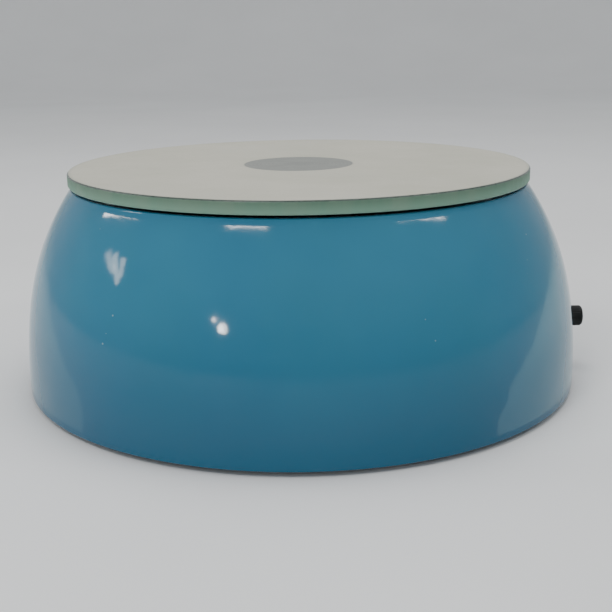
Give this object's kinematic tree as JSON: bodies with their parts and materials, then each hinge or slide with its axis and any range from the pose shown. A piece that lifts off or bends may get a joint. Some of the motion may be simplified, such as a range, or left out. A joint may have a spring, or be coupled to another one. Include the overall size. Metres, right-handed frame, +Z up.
{
  "type": "pottery wheel",
  "caption": "Compact round electric pottery wheel: a glass disc wheelhead on a belt-driven spindle in a domed blue housing, with a speed knob on one side.",
  "frame": {"origin": "middle of the base plate's underside, on the spindle's axis", "axes": "+Z up along the spindle, +X towards the speed knob, +Y towards the power inlet at the back"},
  "size_m": [0.3821, 0.3714, 0.144],
  "materials": {
    "frosted_glass": "frosted float glass, matte warm light grey face, green ground edge",
    "bond": "cured adhesive film",
    "cast_aluminium": "die cast and turned",
    "steel": "turned, bright",
    "bearing_steel": "ground bearing steel",
    "zinc": "zinc plated",
    "blue_gelcoat": "glossy turquoise blue moulded shell",
    "base_paint": "satin dark grey paint",
    "rubber": "matte black rubber",
    "belt_rubber": "black belt rubber",
    "motor_paint": "satin grey paint",
    "board_laminate": "green circuit laminate",
    "black_plastic": "black moulded plastic",
    "sleeving": "dark grey sleeving",
    "terminal_plastic": "green terminal plastic"
  },
  "bodies": {
    "housing": {"base_plate": "base_paint", "board_standoff_1": "zinc", "board_standoff_2": "zinc", "board_standoff_3": "zinc", "board_standoff_4": "zinc", "bracket_screw_1": "zinc", "bracket_screw_2": "zinc", "capacitor": "sleeving", "control_board": "board_laminate", "drive_belt": "belt_rubber", "foot_1": "rubber", "foot_2": "rubber", "foot_3": "rubber", "foot_4": "rubber", "heat_sink": "cast_aluminium", "housing_screw_1": "zinc", "housing_screw_2": "zinc", "housing_screw_3": "zinc", "housing_screw_4": "zinc", "housing_shell": "blue_gelcoat", "lower_bearing_outer_race": "bearing_steel", "mains_lead": "sleeving", "motor_bracket": "zinc", "motor_can": "motor_paint", "motor_front_cap": "cast_aluminium", "motor_lead": "sleeving", "motor_rear_cap": "cast_aluminium", "motor_screw_1": "zinc", "motor_screw_2": "zinc", "pot_lead": "sleeving", "power_inlet": "black_plastic", "shaft_seal": "rubber", "speed_pot_body": "zinc", "speed_pot_nut": "steel", "spindle_housing": "cast_aluminium", "spindle_housing_screw_1": "zinc", "spindle_housing_screw_2": "zinc", "spindle_housing_screw_3": "zinc", "spindle_housing_screw_4": "zinc", "terminal_block": "terminal_plastic", "upper_bearing_outer_race": "bearing_steel"},
    "wheel": {"wheelhead_disc": "frosted_glass", "bond_pad": "bond", "hub_flange": "cast_aluminium", "drive_pin": "steel", "spindle_shaft": "steel", "driven_pulley": "cast_aluminium", "pulley_key": "steel", "spindle_circlip": "steel", "lower_bearing_inner_race": "bearing_steel", "upper_bearing_inner_race": "bearing_steel"},
    "lower_balls": {"lower_bearing_ball_cage": "bearing_steel"},
    "upper_balls": {"upper_bearing_ball_cage": "bearing_steel"},
    "motor_rotor": {"motor_armature": "steel", "motor_pulley": "cast_aluminium"},
    "knob": {"speed_knob": "black_plastic", "speed_pot_shaft": "steel"},
    "rocker": {"switch_rocker": "black_plastic"}
  },
  "joints": [
    {"name": "wheel_spin", "type": "hinge", "parent": "housing", "child": "wheel", "pos_m": [0, 0, 0.07], "axis": [0, 0, 1], "continuous": true},
    {"name": "motor_spin", "type": "hinge", "parent": "housing", "child": "motor_rotor", "pos_m": [-0.11, 0, 0.05], "axis": [0, 0, 1], "continuous": true},
    {"name": "lower_balls_spin", "type": "hinge", "parent": "housing", "child": "lower_balls", "pos_m": [0, 0, 0.018], "axis": [0, 0, 1], "continuous": true},
    {"name": "upper_balls_spin", "type": "hinge", "parent": "housing", "child": "upper_balls", "pos_m": [0, 0, 0.0704], "axis": [0, 0, 1], "continuous": true},
    {"name": "knob_turn", "type": "hinge", "parent": "housing", "child": "knob", "pos_m": [0.19, 0, 0.03], "axis": [1, 0, 0], "range_deg": [-300, 0]},
    {"name": "switch_rock", "type": "hinge", "parent": "housing", "child": "rocker", "pos_m": [0.0155, 0.17495, 0.027], "axis": [1, 0, 0], "range_deg": [0, 18]}
  ],
  "couplings": [
    {"joint": "motor_spin", "follows": "wheel_spin", "ratio": 4},
    {"joint": "lower_balls_spin", "follows": "wheel_spin", "ratio": 0.4137},
    {"joint": "upper_balls_spin", "follows": "wheel_spin", "ratio": 0.4137}
  ]
}
